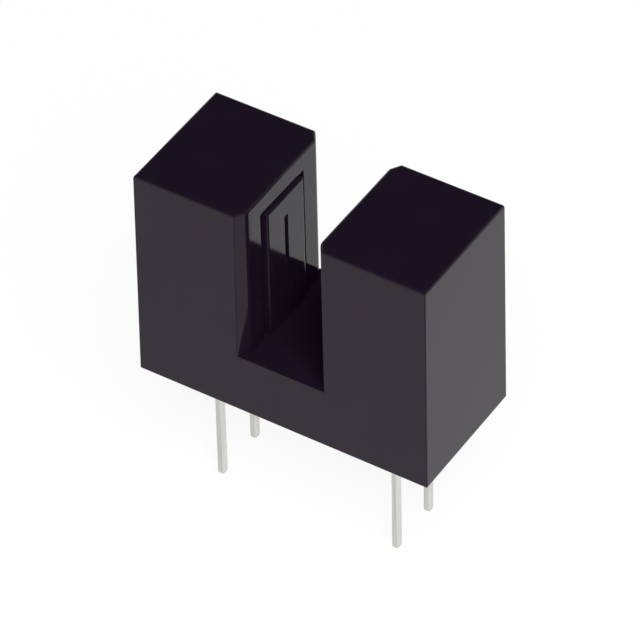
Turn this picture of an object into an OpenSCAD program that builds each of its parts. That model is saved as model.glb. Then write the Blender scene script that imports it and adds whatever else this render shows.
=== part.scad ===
// Slotted optical switch: a black U-shaped housing with a light emitter in one tower and a light
// detector in the other. A flag that passes through the slot breaks the beam between them.
// Origin in the middle of the underside, X along the housing, Y across it, Z up, in millimetres.

/* [Slot] */
// Gap between the two towers
slot_w = 3.4; // [2:0.1:8]
// Height of the slot's floor above the underside
slot_floor = 2.9; // [1.5:0.1:4.5]
// Bevel of the slot's upright edges, measured along the housing
edge_cut_x = 0.31; // [0.1:0.01:0.5]
// Bevel of the slot's upright edges, measured across the housing
edge_cut_y = 0.48; // [0.1:0.01:0.7]

/* [Housing walls] */
// Draft of the outer walls, in degrees
draft = 0.5; // [0:0.1:1.5]
// Wall at the far end of each tower, at the underside
end_wall = 0.85; // [0.6:0.05:2]
// Wall at the front and back of each tower, at the underside
side_wall = 0.975; // [0.7:0.025:2]
// Roof of each tower, above the sensor
roof = 1.65; // [0.8:0.05:3]
// Wall between the lens and the slot
lens_wall = 0.6; // [0.4:0.05:1.2]

/* [Aperture panels] */
// Width of the raised panel round each light slit
panel_w = 2.7; // [1.5:0.1:3.5]
// How far a panel stands out of the slot's wall
panel_out = 0.16; // [0.05:0.01:0.4]
// Height of a panel's top edge above the optical axis
panel_up = 2.2; // [1.5:0.05:2.6]
// Width of the groove in the slot's wall at each side of a panel
groove_w = 0.25; // [0.1:0.05:0.5]
// Height of the groove above a panel
groove_h = 0.1; // [0.05:0.05:0.4]
// Depth of the groove
groove_d = 0.2; // [0.05:0.05:0.3]
// Width of each light slit
slit_w = 0.25; // [0.1:0.05:1]
// Height of each light slit
slit_h = 2.4; // [1:0.1:2.6]

/* [Sensor packages] */
// Width of a package, across the housing
pack_w = 4.2; // [3.8:0.1:6]
// Height of a package
pack_h = 5.2; // [5:0.1:7]
// From the lead plane to the package's lens face
pack_front = 1; // [0.9:0.05:1.6]
// From the lead plane to the package's plain back
pack_back = 1; // [0.5:0.05:1.6]
// Bevel of the package's two upper corners
pack_bevel = 0.5; // [0.1:0.05:1]
// Height of the package's foot above the underside
pack_lift = 3.55; // [2:0.05:5]
// Height of the optical axis above the package's foot
optic_up = 3.6; // [2.5:0.05:3.7]
// Radius of the lens at its foot
lens_r = 0.95; // [0.7:0.05:1.2]
// How far the lens stands out of the package
lens_rise = 0.8; // [0.5:0.05:0.9]

/* [Pockets] */
// Clearance at each side of a package
fit_gap = 0.05; // [0.02:0.01:0.2]
// Clearance round the lens
lens_gap = 0.15; // [0.05:0.05:0.3]
// Depth of the ribs that hold a package against the slot's wall
rib_d = 0.75; // [0.2:0.05:2]
// Width of each rib
rib_w = 0.5; // [0.2:0.05:1]
// Distance between the two ribs of a pocket, centre to centre
rib_pitch = 2.4; // [1.2:0.1:3]
// Thickness of the staked lips that close under a package
lip_h = 0.35; // [0.2:0.05:0.8]
// How far each lip reaches under the package
lip_in = 0.3; // [0.1:0.05:0.35]

/* [Leads] */
// Width of a lead, across the housing
lead_w = 0.4; // [0.3:0.05:0.6]
// Thickness of a lead, along the housing
lead_t = 0.25; // [0.15:0.05:0.4]
// Distance between the two leads of a package
lead_pitch = 2.5; // [2.2:0.02:2.6]
// Length of a lead below the underside
lead_out = 6.2; // [2:0.1:12]
// Bevel of a lead's cut tip
tip_bevel = 0.08; // [0.02:0.01:0.12]
// How far the trimmed tie-bar stubs stand out of a lead's edges
stub_out = 0.12; // [0.05:0.01:0.2]
// Height of a tie-bar stub
stub_h = 0.45; // [0.2:0.05:0.8]
// From the package's foot down to the stubs
stub_down = 0.9; // [0.2:0.05:1]

/* [Chips and wires] */
// Height of the chip pad and of the bond post
pad_h = 1.2; // [0.9:0.05:2]
// How far the chip pad reaches past the optical axis
pad_past = 0.45; // [0.4:0.05:0.6]
// Gap between the chip pad and the bond post
pad_gap = 0.25; // [0.15:0.05:0.3]
// Side of the square emitter chip
emitter_chip_w = 0.3; // [0.3:0.05:0.5]
// Side of the square detector chip
detector_chip_w = 0.7; // [0.5:0.05:0.75]
// Thickness of both chips
chip_t = 0.2; // [0.1:0.05:0.25]
// Thickness of a bond wire
wire_d = 0.05; // [0.03:0.01:0.08]
// From a chip's edge in to where its wire is bonded
chip_bond_in = 0.15; // [0.1:0.01:0.15]
// From the bond post's edge in to where its wire is bonded
post_bond_in = 0.2; // [0.1:0.05:0.3]

/* [Hidden] */
$fn = 48;

// Signs of X for the two towers
emitter_side = -1;
detector_side = 1;
// How far a cut runs past the face that it opens
over = 1;

// Sizes that follow from what the housing holds, from the slot's wall outwards
slot_face = pack_front + lens_rise + lens_gap + lens_wall;
lead_x = slot_w / 2 + slot_face;
base_l = 2 * (lead_x + pack_back + rib_d + end_wall);
base_w = pack_w + 2 * (fit_gap + side_wall);
pocket_w = pack_w + 2 * fit_gap;
pack_top = pack_lift + pack_h;
optic_z = pack_lift + optic_up;
housing_h = pack_top + roof;
// How far the draft brings each outer wall in at the top
top_in = housing_h * tan(draft);

// Lens: a dome cut from a sphere
dome_r = (lens_r * lens_r + lens_rise * lens_rise) / (2 * lens_rise);
dome_x = pack_front + lens_rise - dome_r;

// Leads: the stubs' and the pads' heights, and the face that carries the chip
stub_z = pack_lift - stub_down;
pad_z = optic_z - pad_h / 2;
pad_face = lead_t / 2;

// Local frame of one sensor: its lead plane at x = 0, with +x towards the slot
module sensor_frame(side) {
    translate([side * lead_x, 0, 0])
        mirror([side > 0 ? 1 : 0, 0, 0])
            children();
}

// Upright section of the housing, leaning in by the draft on both sides
function drafted_profile(width) = [
    [-width / 2, 0],
    [width / 2, 0],
    [width / 2 - top_in, housing_h],
    [-width / 2 + top_in, housing_h]
];

// Plain block with four drafted walls
module drafted_block() {
    intersection() {
        rotate([90, 0, 0])
            linear_extrude(base_w, center = true)
                polygon(drafted_profile(base_l));
        rotate([90, 0, 90])
            linear_extrude(base_l, center = true)
                polygon(drafted_profile(base_w));
    }
}

// Slot seen from above: straight walls that flare out over the bevels at both mouths
module slot_plan() {
    wall_x = slot_w / 2;
    bevel_y = base_w / 2 - top_in - edge_cut_y;
    mouth_y = base_w / 2 + over;
    mouth_x = wall_x + edge_cut_x * (mouth_y - bevel_y) / edge_cut_y;
    polygon([
        [-wall_x, bevel_y], [-wall_x, -bevel_y],
        [-mouth_x, -mouth_y], [mouth_x, -mouth_y],
        [wall_x, -bevel_y], [wall_x, bevel_y],
        [mouth_x, mouth_y], [-mouth_x, mouth_y]
    ]);
}

// Raised panel on a slot wall, which stands up from the slot's floor round the slit
module aperture_panel() {
    translate([slot_face - over, -panel_w / 2, slot_floor - over])
        cube([over + panel_out, panel_w, optic_z + panel_up - slot_floor + over]);
}

// Groove in a slot wall, which sets the panel off at its sides and top
module panel_groove() {
    translate([slot_face - groove_d, -panel_w / 2 - groove_w, slot_floor])
        cube([groove_d + over, panel_w + 2 * groove_w, optic_z + panel_up + groove_h - slot_floor]);
}

// Two ribs on the end wall that hold the package's back
module pocket_ribs() {
    for (y = [-1, 1] * rib_pitch / 2)
        translate([-pack_back - rib_d - over, y - rib_w / 2, pack_lift])
            cube([rib_d + over, rib_w, pack_h + over]);
}

// Two lips, staked over the package's foot at its front and back
module staked_lips() {
    for (turn = [0, 1])
        mirror([0, turn, 0])
            translate([-pack_back, pack_w / 2 - lip_in, pack_lift - lip_h])
                cube([pack_back + pack_front, lip_in + fit_gap + over, lip_h]);
}

// Pocket open at the underside for one package, with a channel that lets its lens slide in
module sensor_pocket() {
    channel_r = lens_r + lens_gap;
    channel_top = optic_z + max(lens_r, slit_h / 2) + lens_gap;
    difference() {
        translate([-pack_back - rib_d, -pocket_w / 2, -over])
            cube([pack_front + pack_back + rib_d, pocket_w, pack_top + over]);
        pocket_ribs();
        staked_lips();
    }
    translate([0, -channel_r, -over])
        cube([slot_face - lens_wall, 2 * channel_r, channel_top + over]);
}

// Light slit from the lens channel through the panel
module light_slit() {
    translate([pack_front, -slit_w / 2, optic_z - slit_h / 2])
        cube([slot_face - pack_front + panel_out + over, slit_w, slit_h]);
}

// Moulded U: two drafted towers on one base, with a pocket and a slit in each tower
module housing() {
    color("#1b191d")
        difference() {
            drafted_block();
            difference() {
                union() {
                    translate([0, 0, slot_floor])
                        linear_extrude(housing_h)
                            slot_plan();
                    for (side = [emitter_side, detector_side])
                        sensor_frame(side)
                            panel_groove();
                }
                for (side = [emitter_side, detector_side])
                    sensor_frame(side)
                        aperture_panel();
            }
            for (side = [emitter_side, detector_side])
                sensor_frame(side) {
                    sensor_pocket();
                    light_slit();
                }
        }
}

// Outline of a lead in Y and Z, from its cut tip past the stubs to a head that reaches in to y = reach
function lead_outline(reach) =
    let (
        outer = -(lead_pitch + lead_w) / 2,
        inner = -(lead_pitch - lead_w) / 2,
        tip = -lead_out,
        stub_top = stub_z + stub_h,
        head_top = pad_z + pad_h
    ) [
        [outer + tip_bevel, tip], [inner - tip_bevel, tip], [inner, tip + tip_bevel],
        [inner, stub_z], [inner + stub_out, stub_z],
        [inner + stub_out, stub_top], [inner, stub_top],
        [inner, pad_z], [reach, pad_z], [reach, head_top], [outer, head_top],
        [outer, stub_top], [outer - stub_out, stub_top],
        [outer - stub_out, stub_z], [outer, stub_z], [outer, tip + tip_bevel]
    ];

module lead_blade(reach) {
    rotate([90, 0, 90])
        linear_extrude(lead_t, center = true)
            polygon(lead_outline(reach));
}

// Lead with the pad that carries the chip
module pad_lead() {
    lead_blade(pad_past);
}

// Lead with the post that takes the bond wire
module post_lead() {
    mirror([0, 1, 0])
        lead_blade(-(pad_past + pad_gap));
}

// Square chip on the pad, centred on the optical axis
module chip(chip_w) {
    translate([pad_face, -chip_w / 2, optic_z - chip_w / 2])
        cube([chip_t, chip_w, chip_w]);
}

// Bond wire: a half loop out of the chip's face, with a straight leg down to the post
module bond_wire(chip_w) {
    start_y = chip_w / 2 - chip_bond_in;
    foot_y = pad_past + pad_gap + post_bond_in;
    loop_r = (foot_y - start_y) / 2;
    translate([pad_face + chip_t, start_y + loop_r, optic_z])
        rotate([0, 0, -90])
            rotate_extrude(angle = 180)
                translate([loop_r, 0])
                    circle(d = wire_d);
    translate([pad_face, foot_y, optic_z])
        rotate([0, 90, 0])
            cylinder(d = wire_d, h = chip_t);
}

// Front view of a package, with its upper corners bevelled
function package_outline() = [
    [-pack_w / 2, pack_lift], [pack_w / 2, pack_lift],
    [pack_w / 2, pack_top - pack_bevel], [pack_w / 2 - pack_bevel, pack_top],
    [-pack_w / 2 + pack_bevel, pack_top], [-pack_w / 2, pack_top - pack_bevel]
];

// Moulded resin with a domed lens, cast round the leads' heads, the chip and its wire
module package_body(chip_w) {
    difference() {
        union() {
            translate([-pack_back, 0, 0])
                rotate([90, 0, 90])
                    linear_extrude(pack_back + pack_front)
                        polygon(package_outline());
            intersection() {
                translate([dome_x, 0, optic_z])
                    rotate([0, 90, 0])
                        sphere(dome_r);
                translate([0, -dome_r, optic_z - dome_r])
                    cube([pack_front + lens_rise + over, 2 * dome_r, 2 * dome_r]);
            }
        }
        pad_lead();
        post_lead();
        chip(chip_w);
        bond_wire(chip_w);
    }
}

module emitter_body() {
    color("#a9bccb") sensor_frame(emitter_side) package_body(emitter_chip_w);
}

module emitter_cathode_lead() {
    color("#d2d2ce") sensor_frame(emitter_side) pad_lead();
}

module emitter_anode_lead() {
    color("#d2d2ce") sensor_frame(emitter_side) post_lead();
}

module emitter_chip() {
    color("#6d5a4c") sensor_frame(emitter_side) chip(emitter_chip_w);
}

module emitter_bond_wire() {
    color("#d8ab45") sensor_frame(emitter_side) bond_wire(emitter_chip_w);
}

module detector_body() {
    color("#2c1f2b") sensor_frame(detector_side) package_body(detector_chip_w);
}

module detector_collector_lead() {
    color("#d2d2ce") sensor_frame(detector_side) pad_lead();
}

module detector_emitter_lead() {
    color("#d2d2ce") sensor_frame(detector_side) post_lead();
}

module detector_chip() {
    color("#4a5160") sensor_frame(detector_side) chip(detector_chip_w);
}

module detector_bond_wire() {
    color("#d8ab45") sensor_frame(detector_side) bond_wire(detector_chip_w);
}

housing();
emitter_body();
emitter_cathode_lead();
emitter_anode_lead();
emitter_chip();
emitter_bond_wire();
detector_body();
detector_collector_lead();
detector_emitter_lead();
detector_chip();
detector_bond_wire();
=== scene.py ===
import math

import bmesh
import bpy
from mathutils import Matrix, Vector


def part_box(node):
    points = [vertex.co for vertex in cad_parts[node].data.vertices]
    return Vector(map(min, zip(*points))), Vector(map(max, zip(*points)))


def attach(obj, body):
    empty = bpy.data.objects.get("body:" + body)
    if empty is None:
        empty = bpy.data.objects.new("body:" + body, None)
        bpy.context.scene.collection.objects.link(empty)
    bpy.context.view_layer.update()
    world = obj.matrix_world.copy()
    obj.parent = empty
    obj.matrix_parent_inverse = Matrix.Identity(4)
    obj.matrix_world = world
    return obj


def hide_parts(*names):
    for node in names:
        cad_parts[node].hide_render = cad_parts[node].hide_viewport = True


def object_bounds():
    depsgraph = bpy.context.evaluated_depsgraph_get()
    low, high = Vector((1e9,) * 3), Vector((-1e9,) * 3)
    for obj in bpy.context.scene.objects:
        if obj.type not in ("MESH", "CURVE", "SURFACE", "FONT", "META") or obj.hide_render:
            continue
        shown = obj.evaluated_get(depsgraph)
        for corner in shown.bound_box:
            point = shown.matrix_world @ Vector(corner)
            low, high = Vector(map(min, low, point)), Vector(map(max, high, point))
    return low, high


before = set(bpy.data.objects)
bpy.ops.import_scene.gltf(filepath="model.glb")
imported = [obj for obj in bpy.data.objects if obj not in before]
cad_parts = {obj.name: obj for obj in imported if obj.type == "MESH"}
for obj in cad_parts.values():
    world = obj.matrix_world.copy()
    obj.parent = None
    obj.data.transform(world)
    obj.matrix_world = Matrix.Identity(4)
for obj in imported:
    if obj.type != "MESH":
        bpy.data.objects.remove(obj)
cad_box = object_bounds()
scene = bpy.context.scene

# Housing: a U-shaped block of black polycarbonate, moulded in one shot with the slot left by a core in
# the mould. Its edges keep the small radii of the mould, wider along the tops and the slot's mouth, and a
# fine groove sets each raised panel with its light slit off from the slot wall.
MM = 0.001

# Radii of its edges, in millimetres
top_radius = 0.17
mouth_radius = 0.1
panel_top_radius = 0.2
panel_radius = 0.06
outer_radius = 0.05
groove_radius = 0.04
pocket_radius = 0.03
slit_radius = 0.015

# Where those edges lie, in millimetres from the middle of the underside, and how near counts as there
housing_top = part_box("housing")[1].z / MM
slot_floor = 2.9
slit_half = 0.125
panel_half = 1.35
panel_top = 9.35
groove_half = 1.6
mouth_half = 2.2
mouth_y = 2.9
pocket_x = (2.3, 6.0)
pocket_y = 2.15
touch = 0.02

# Material numbers that tell flat faces from rounded strips while a copy is made
flat_face = 0
rounded_strip = 1


def rounded_copy(node, radius_at):
    """Copies a CAD node with its sharp outer edges rounded. radius_at gives an edge its radius from the
    middle of the edge, both in millimetres."""
    weld_gap = 0.0005
    flat_angle = math.radians(0.1)
    sharp_angle = math.radians(20)
    bm = bmesh.new()
    bm.from_mesh(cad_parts[node].data)
    bmesh.ops.scale(bm, vec=Vector((1, 1, 1)) / MM, verts=bm.verts)
    bmesh.ops.remove_doubles(bm, verts=bm.verts, dist=weld_gap)
    bmesh.ops.dissolve_limit(bm, angle_limit=flat_angle, verts=bm.verts, edges=bm.edges)
    radii = {}
    for edge in bm.edges:
        if edge.is_convex and edge.calc_face_angle() > sharp_angle:
            radii[edge.index] = radius_at((edge.verts[0].co + edge.verts[1].co) / 2)
    widest = max(radii.values())
    weight = bm.edges.layers.float.new("bevel_weight_edge")
    for edge in bm.edges:
        edge[weight] = radii.get(edge.index, 0) / widest
    mesh = bpy.data.meshes.new(node + "_rounded")
    bm.to_mesh(mesh)
    bm.free()
    for number in (flat_face, rounded_strip):
        mesh.materials.append(None)
    piece = bpy.data.objects.new(node + "_rounded", mesh)
    scene.collection.objects.link(piece)
    bevel = piece.modifiers.new("edges", "BEVEL")
    bevel.limit_method = "WEIGHT"
    bevel.width = widest
    bevel.segments = 4
    bevel.material = rounded_strip
    bevel.use_clamp_overlap = False
    rounded = bpy.data.meshes.new_from_object(piece.evaluated_get(bpy.context.evaluated_depsgraph_get()))
    keep_faces_flat(rounded)
    rounded.transform(Matrix.Scale(MM, 4))
    piece.modifiers.clear()
    piece.data = rounded
    rounded.materials.clear()
    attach(piece, "root")
    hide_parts(node)
    return piece


def keep_faces_flat(mesh):
    """Gives each face corner its normal: a flat face keeps its own, and a rounded strip turns from one flat
    face to the next. A face that is turned away by more than reach belongs to another edge."""
    reach = math.radians(60)
    around = [[] for vertex in mesh.vertices]
    for face in mesh.polygons:
        for vertex in face.vertices:
            around[vertex].append(face)
    normals = []
    for face in mesh.polygons:
        for vertex in face.vertices:
            near = [other for other in around[vertex] if other.normal.angle(face.normal) < reach]
            flat = [other for other in near if other.material_index == flat_face]
            if face.material_index == flat_face:
                near = [face]
            elif flat:
                near = [min(flat, key=lambda other: other.normal.angle(face.normal))]
            normals.append(sum((other.normal for other in near), Vector()).normalized())
    for face in mesh.polygons:
        face.use_smooth = True
        face.material_index = flat_face
    mesh.normals_split_custom_set(normals)


def housing_radius(middle):
    """The radius of a housing edge, by where its middle lies. Up inside a pocket the edges stay sharp."""
    x, y, z = abs(middle.x), abs(middle.y), middle.z
    if pocket_x[0] - touch < x < pocket_x[1] + touch and y < pocket_y + touch:
        return pocket_radius if z < touch else 0
    if x > mouth_half:
        return top_radius if z > housing_top - touch else outer_radius
    if z > housing_top - touch:
        return top_radius
    if y < slit_half + touch and z < panel_top - touch:
        return slit_radius
    if y < panel_half + touch and z < panel_top + touch:
        return panel_top_radius if y < touch else panel_radius
    if y < groove_half + touch:
        return groove_radius
    return mouth_radius if y < mouth_y and z > slot_floor + touch else outer_radius


housing = rounded_copy("housing", housing_radius)

# A colour mix node's sockets go by number: its factor, its two colours and its result
mix_factor, mix_first, mix_second, mix_result = 0, 6, 7, 2


def linear(hex_colour):
    """The linear colour that an sRGB hex value stands for."""
    parts = [int(hex_colour[i:i + 2], 16) / 255 for i in (1, 3, 5)]
    return [c / 12.92 if c <= 0.04045 else ((c + 0.055) / 1.055) ** 2.4 for c in parts] + [1]


def add_node(tree, kind, inputs=None, **settings):
    """Adds a node with its settings. An input is a plain value, or the socket that it is linked to."""
    node = tree.nodes.new(kind)
    for name, value in settings.items():
        setattr(node, name, value)
    for name, value in (inputs or {}).items():
        if isinstance(value, bpy.types.NodeSocket):
            tree.links.new(value, node.inputs[name])
        else:
            node.inputs[name].default_value = value
    return node


def new_tree(name):
    """An empty material and its node tree."""
    material = bpy.data.materials.new(name)
    material.use_nodes = True
    material.node_tree.nodes.clear()
    return material, material.node_tree


def moulded_polycarbonate():
    """Moulded black polycarbonate: a deep purple-black that shows almost only what it mirrors. The mould's
    fine matt skin softens the shine below that of bare resin, and clouds it a little from place to place.
    The skin's peel is drawn coarser than the real one, so that it shows."""
    material, tree = new_tree("moulded_polycarbonate")
    cloud_size = 2.2 * MM
    peel_size = 0.22 * MM
    peel_height = 0.0004 * MM
    place = add_node(tree, "ShaderNodeTexCoord").outputs["Object"]
    cloud = add_node(tree, "ShaderNodeTexNoise", {"Vector": place, "Scale": 1 / cloud_size, "Detail": 3})
    peel = add_node(tree, "ShaderNodeTexNoise", {"Vector": place, "Scale": 1 / peel_size, "Detail": 2})
    colour = add_node(tree, "ShaderNodeMix", {
        mix_factor: cloud.outputs["Fac"], mix_first: linear("#150d18"), mix_second: linear("#1a121e"),
    }, data_type="RGBA")
    gloss = add_node(tree, "ShaderNodeMapRange", {
        "Value": cloud.outputs["Fac"], "From Min": 0.3, "From Max": 0.7, "To Min": 0.07, "To Max": 0.11,
    })
    bump = add_node(tree, "ShaderNodeBump", {"Height": peel.outputs["Fac"], "Distance": peel_height})
    shader = add_node(tree, "ShaderNodeBsdfPrincipled", {
        "Base Color": colour.outputs[mix_result], "Roughness": gloss.outputs["Result"],
        "IOR": 1.58, "Specular IOR Level": 0.15, "Normal": bump.outputs["Normal"],
    })
    add_node(tree, "ShaderNodeOutputMaterial", {"Surface": shader.outputs["BSDF"]})
    return material


housing.data.materials.append(moulded_polycarbonate())

# Leads: four legs stamped from copper-alloy strip with the frame that carries the chips, tin plated, and
# cut free of their tie bars and to length afterwards. The strip's rolling marks run down each leg.
lead_nodes = (
    "emitter_cathode_lead", "emitter_anode_lead", "detector_collector_lead", "detector_emitter_lead",
)

# Radius of their edges, in millimetres
lead_radius = 0.035


def tin_plate():
    """Dull electroplated tin: a pale grey metal with soft lengthwise streaks and a fine matt grain, both
    drawn coarser than real ones, so that they show. The narrow sides that face front and back are painted
    darker than the wide rolled faces that face sideways: painted shade and painted light, by which way a
    face turns. The end, cut after plating, is darker still."""
    material, tree = new_tree("tin_plate")
    streak_width = 0.09 * MM
    streak_length = 3 * MM
    streak_height = 0.0012 * MM
    grain_size = 0.12 * MM
    cut_height = 0.12 * MM
    lead_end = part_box(lead_nodes[0])[0].z
    surface = add_node(tree, "ShaderNodeTexCoord").outputs
    place = surface["Object"]
    drawn_out = add_node(tree, "ShaderNodeMapping", {
        "Vector": place, "Scale": (1, 1, streak_width / streak_length),
    })
    streak = add_node(tree, "ShaderNodeTexNoise", {
        "Vector": drawn_out.outputs["Vector"], "Scale": 1 / streak_width, "Detail": 2,
    })
    grain = add_node(tree, "ShaderNodeTexNoise", {"Vector": place, "Scale": 1 / grain_size, "Detail": 3})
    streaks = add_node(tree, "ShaderNodeMapRange", {
        "Value": streak.outputs["Fac"], "From Min": 0.35, "From Max": 0.65,
    }).outputs["Result"]
    # Painted light and shade: a face that turns along x takes the lit colour, one that turns along y the
    # shaded one
    facing_x = add_node(tree, "ShaderNodeSeparateXYZ", {"Vector": surface["Normal"]}).outputs["X"]
    painted_lit_side = add_node(tree, "ShaderNodeMath", {0: facing_x}, operation="ABSOLUTE").outputs["Value"]
    height = add_node(tree, "ShaderNodeSeparateXYZ", {"Vector": place}).outputs["Z"]
    cut = add_node(tree, "ShaderNodeMapRange", {
        "Value": height, "From Min": lead_end, "From Max": lead_end + cut_height,
        "To Min": 1, "To Max": 0,
    }, interpolation_type="SMOOTHSTEP")
    # The lit colour of the wide faces, a painted light
    face = add_node(tree, "ShaderNodeMix", {
        mix_factor: streaks, mix_first: linear("#cfcec8"), mix_second: linear("#dddcd6"),
    }, data_type="RGBA")
    # The shaded colour of the narrow sides, a painted shade
    edge = add_node(tree, "ShaderNodeMix", {
        mix_factor: streaks, mix_first: linear("#bcbbb5"), mix_second: linear("#cdccc6"),
    }, data_type="RGBA")
    plate = add_node(tree, "ShaderNodeMix", {
        mix_factor: painted_lit_side, mix_first: edge.outputs[mix_result], mix_second: face.outputs[mix_result],
    }, data_type="RGBA")
    colour = add_node(tree, "ShaderNodeMix", {
        mix_factor: cut.outputs["Result"],
        mix_first: plate.outputs[mix_result], mix_second: linear("#a8a199"),
    }, data_type="RGBA")
    gloss = add_node(tree, "ShaderNodeMapRange", {
        "Value": grain.outputs["Fac"], "From Min": 0.3, "From Max": 0.7, "To Min": 0.26, "To Max": 0.4,
    })
    bump = add_node(tree, "ShaderNodeBump", {"Height": streak.outputs["Fac"], "Distance": streak_height})
    shader = add_node(tree, "ShaderNodeBsdfPrincipled", {
        "Base Color": colour.outputs[mix_result], "Metallic": 1, "Roughness": gloss.outputs["Result"],
        "Normal": bump.outputs["Normal"],
    })
    add_node(tree, "ShaderNodeOutputMaterial", {"Surface": shader.outputs["BSDF"]})
    return material


lead_plating = tin_plate()
for node in lead_nodes:
    lead = rounded_copy(node, lambda middle: lead_radius)
    lead.data.materials.append(lead_plating)

# Sensor packages: two blocks of epoxy, cast round the heads of the leads with a domed lens towards the
# slot, and pushed up into the housing's pockets. The emitter's is clear with a faint blue tint, and the
# detector's holds a dye that stops daylight.


def cast_epoxy(name, pale, deep, clear):
    """Cast epoxy: glassy where it met the polished mould, with slow waves from shrinking as it cured."""
    material, tree = new_tree(name)
    wave_size = 0.8 * MM
    wave_height = 0.002 * MM
    place = add_node(tree, "ShaderNodeTexCoord").outputs["Object"]
    wave = add_node(tree, "ShaderNodeTexNoise", {"Vector": place, "Scale": 1 / wave_size, "Detail": 2})
    colour = add_node(tree, "ShaderNodeMix", {
        mix_factor: wave.outputs["Fac"], mix_first: linear(pale), mix_second: linear(deep),
    }, data_type="RGBA")
    gloss = add_node(tree, "ShaderNodeMapRange", {
        "Value": wave.outputs["Fac"], "From Min": 0.3, "From Max": 0.7, "To Min": 0.04, "To Max": 0.1,
    })
    bump = add_node(tree, "ShaderNodeBump", {"Height": wave.outputs["Fac"], "Distance": wave_height})
    shader = add_node(tree, "ShaderNodeBsdfPrincipled", {
        "Base Color": colour.outputs[mix_result], "Roughness": gloss.outputs["Result"], "IOR": 1.54,
        "Transmission Weight": clear, "Normal": bump.outputs["Normal"],
    })
    add_node(tree, "ShaderNodeOutputMaterial", {"Surface": shader.outputs["BSDF"]})
    return material


def finish_node(node, material):
    """Gives a CAD node's own mesh its finish."""
    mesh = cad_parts[node].data
    mesh.materials.clear()
    mesh.materials.append(material)


finish_node("emitter_body", cast_epoxy("clear_blue_epoxy", pale="#dbe6f0", deep="#c3d3e2", clear=0.9))
finish_node("detector_body", cast_epoxy("daylight_stop_epoxy", pale="#1a0f19", deep="#241622", clear=0))

# Chips: the emitter's square of gallium arsenide and the detector's larger square of silicon, sawn from
# wafers and bonded to the pads of their leads.


def sawn_wafer(name, ground_colour, line_colour):
    """Sawn semiconductor: a dark polished sheen with faint saw lines across it. The lines are drawn coarser
    than real ones, so that they show."""
    material, tree = new_tree(name)
    line_spacing = 0.02 * MM
    line_height = 0.0005 * MM
    spacing_at_scale_1 = math.pi / 10
    place = add_node(tree, "ShaderNodeTexCoord").outputs["Object"]
    lines = add_node(tree, "ShaderNodeTexWave", {
        "Vector": place, "Scale": spacing_at_scale_1 / line_spacing, "Distortion": 0.6, "Detail": 1,
    }, bands_direction="Z")
    colour = add_node(tree, "ShaderNodeMix", {
        mix_factor: lines.outputs["Fac"], mix_first: linear(ground_colour), mix_second: linear(line_colour),
    }, data_type="RGBA")
    bump = add_node(tree, "ShaderNodeBump", {"Height": lines.outputs["Fac"], "Distance": line_height})
    shader = add_node(tree, "ShaderNodeBsdfPrincipled", {
        "Base Color": colour.outputs[mix_result], "Roughness": 0.18, "IOR": 3.5,
        "Normal": bump.outputs["Normal"],
    })
    add_node(tree, "ShaderNodeOutputMaterial", {"Surface": shader.outputs["BSDF"]})
    return material


finish_node("emitter_chip", sawn_wafer("gallium_arsenide", ground_colour="#5d4c40", line_colour="#6d5a4c"))
finish_node("detector_chip", sawn_wafer("silicon", ground_colour="#3d4554", line_colour="#4a5160"))

# Bond wires: fine gold wire, drawn through dies. Each is welded to the face of its chip, loops out, and is
# welded down again on the post of the other lead.


def drawn_gold():
    """Drawn gold: warm and bright, a little mottled by its grain. The grain is drawn coarser than the real
    one, so that it shows."""
    material, tree = new_tree("drawn_gold")
    grain_size = 0.03 * MM
    place = add_node(tree, "ShaderNodeTexCoord").outputs["Object"]
    grain = add_node(tree, "ShaderNodeTexNoise", {"Vector": place, "Scale": 1 / grain_size, "Detail": 2})
    colour = add_node(tree, "ShaderNodeMix", {
        mix_factor: grain.outputs["Fac"], mix_first: linear("#c9982f"), mix_second: linear("#e3bb58"),
    }, data_type="RGBA")
    shader = add_node(tree, "ShaderNodeBsdfPrincipled", {
        "Base Color": colour.outputs[mix_result], "Metallic": 1, "Roughness": 0.22,
    })
    add_node(tree, "ShaderNodeOutputMaterial", {"Surface": shader.outputs["BSDF"]})
    return material


gold = drawn_gold()
for node in ("emitter_bond_wire", "detector_bond_wire"):
    finish_node(node, gold)

# Floor: a wide sheet of matt white board under the lead tips. It stays white to the eye and in what the
# part mirrors, keeps a soft shadow, and is clear from below so that the underside can be looked at.
floor_half = 1500 * MM
floor_gap = 0.002 * MM
floor_z = cad_box[0].z - floor_gap
plain_white_share = 0.92
floor_mesh = bpy.data.meshes.new("floor")
floor_corners = [(-1, -1), (1, -1), (1, 1), (-1, 1)]
floor_points = [(x * floor_half, y * floor_half, floor_z) for x, y in floor_corners]
floor_mesh.from_pydata(floor_points, [], [(0, 1, 2, 3)])
floor = bpy.data.objects.new("floor", floor_mesh)
scene.collection.objects.link(floor)
board, tree = new_tree("matt_white_board")
path = add_node(tree, "ShaderNodeLightPath").outputs
mirrored = add_node(tree, "ShaderNodeMath", {
    0: path["Is Glossy Ray"], 1: path["Is Transmission Ray"],
}, operation="MAXIMUM")
seen = add_node(tree, "ShaderNodeMath", {
    0: path["Is Camera Ray"], 1: mirrored.outputs["Value"],
}, operation="MAXIMUM")
share = add_node(tree, "ShaderNodeMath", {
    0: seen.outputs["Value"], 1: plain_white_share,
}, operation="MULTIPLY")
matt = add_node(tree, "ShaderNodeBsdfDiffuse", {"Color": linear("#f8f8f8")})
white = add_node(tree, "ShaderNodeEmission", {"Color": linear("#ffffff"), "Strength": 1})
top_side = add_node(tree, "ShaderNodeMixShader", {
    0: share.outputs["Value"], 1: matt.outputs["BSDF"], 2: white.outputs["Emission"],
})
clear = add_node(tree, "ShaderNodeBsdfTransparent")
under_side = add_node(tree, "ShaderNodeNewGeometry").outputs["Backfacing"]
sheet = add_node(tree, "ShaderNodeMixShader", {
    0: under_side, 1: top_side.outputs["Shader"], 2: clear.outputs["BSDF"],
})
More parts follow.
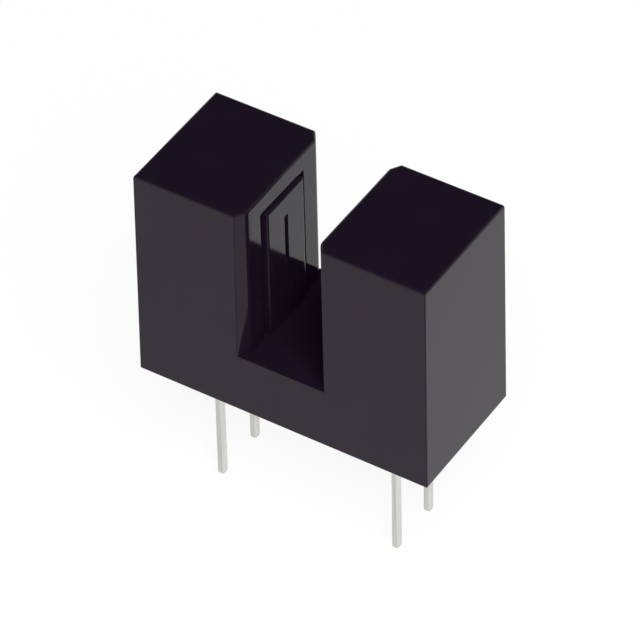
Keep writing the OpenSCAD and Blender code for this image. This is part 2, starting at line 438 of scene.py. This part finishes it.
add_node(tree, "ShaderNodeOutputMaterial", {"Surface": sheet.outputs["Shader"]})
floor_mesh.materials.append(board)

# Room: white walls that fade from a little above the floor's edge into a dim ceiling. Seen from above, the
# tops of the towers mirror the ceiling, and the upright faces mirror the floor.

# Where the fade starts and ends, as sines of the angle above the horizon
white_up_to = math.sin(math.radians(5))
ceiling_from = math.sin(math.radians(36))
world = bpy.data.worlds.new("studio")
world.use_nodes = True
world.node_tree.nodes.clear()
scene.world = world
tree = world.node_tree
direction = add_node(tree, "ShaderNodeTexCoord").outputs["Generated"]
height = add_node(tree, "ShaderNodeSeparateXYZ", {"Vector": direction}).outputs["Z"]
rise = add_node(tree, "ShaderNodeMapRange", {
    "Value": height, "From Min": white_up_to, "From Max": ceiling_from,
}, interpolation_type="SMOOTHSTEP")
shade = add_node(tree, "ShaderNodeMix", {
    mix_factor: rise.outputs["Result"], mix_first: linear("#ffffff"), mix_second: linear("#2e2c30"),
}, data_type="RGBA")
room = add_node(tree, "ShaderNodeBackground", {"Color": shade.outputs[mix_result], "Strength": 1})
add_node(tree, "ShaderNodeOutputWorld", {"Surface": room.outputs["Background"]})

# Camera: a long lens about 0.2 m away, at the photograph's angle. Its place, tilt and focal length are
# fitted to the corners and the outline of the housing there.
azimuth = math.radians(32.96)
elevation = math.radians(42.71)
roll = math.radians(-1.41)
distance = 212.76 * MM
target = Vector((-0.06, 0, 3.375)) * MM
back = Vector((
    math.sin(azimuth) * math.cos(elevation), -math.cos(azimuth) * math.cos(elevation), math.sin(elevation),
))
level = Vector((math.cos(azimuth), math.sin(azimuth), 0))
upright = back.cross(level)
right = level * math.cos(roll) + upright * math.sin(roll)
up = upright * math.cos(roll) - level * math.sin(roll)
lens = bpy.data.cameras.new("camera")
lens.sensor_width = 36
lens.lens = 297
camera = bpy.data.objects.new("camera", lens)
turn = Matrix((right, up, back)).transposed().to_4x4()
camera.matrix_world = Matrix.Translation(target + back * distance) @ turn
scene.collection.objects.link(camera)
scene.camera = camera

# Light: one soft round lamp, a little above the camera and to its right. Reflections leave it out, so that
# the plastic mirrors only the floor and the room.
lamp_distance = 500 * MM
lamp_from = Vector((0.45, -0.5, 0.85)).normalized()
softbox = bpy.data.lights.new("softbox", "AREA")
softbox.shape = "DISK"
softbox.size = 300 * MM
softbox.energy = 3.4
lamp = bpy.data.objects.new("softbox", softbox)
lamp.location = target + lamp_from * lamp_distance
lamp.rotation_euler = lamp_from.to_track_quat("Z", "Y").to_euler()
lamp.visible_glossy = False
scene.collection.objects.link(lamp)

scene.view_settings.view_transform = "Standard"
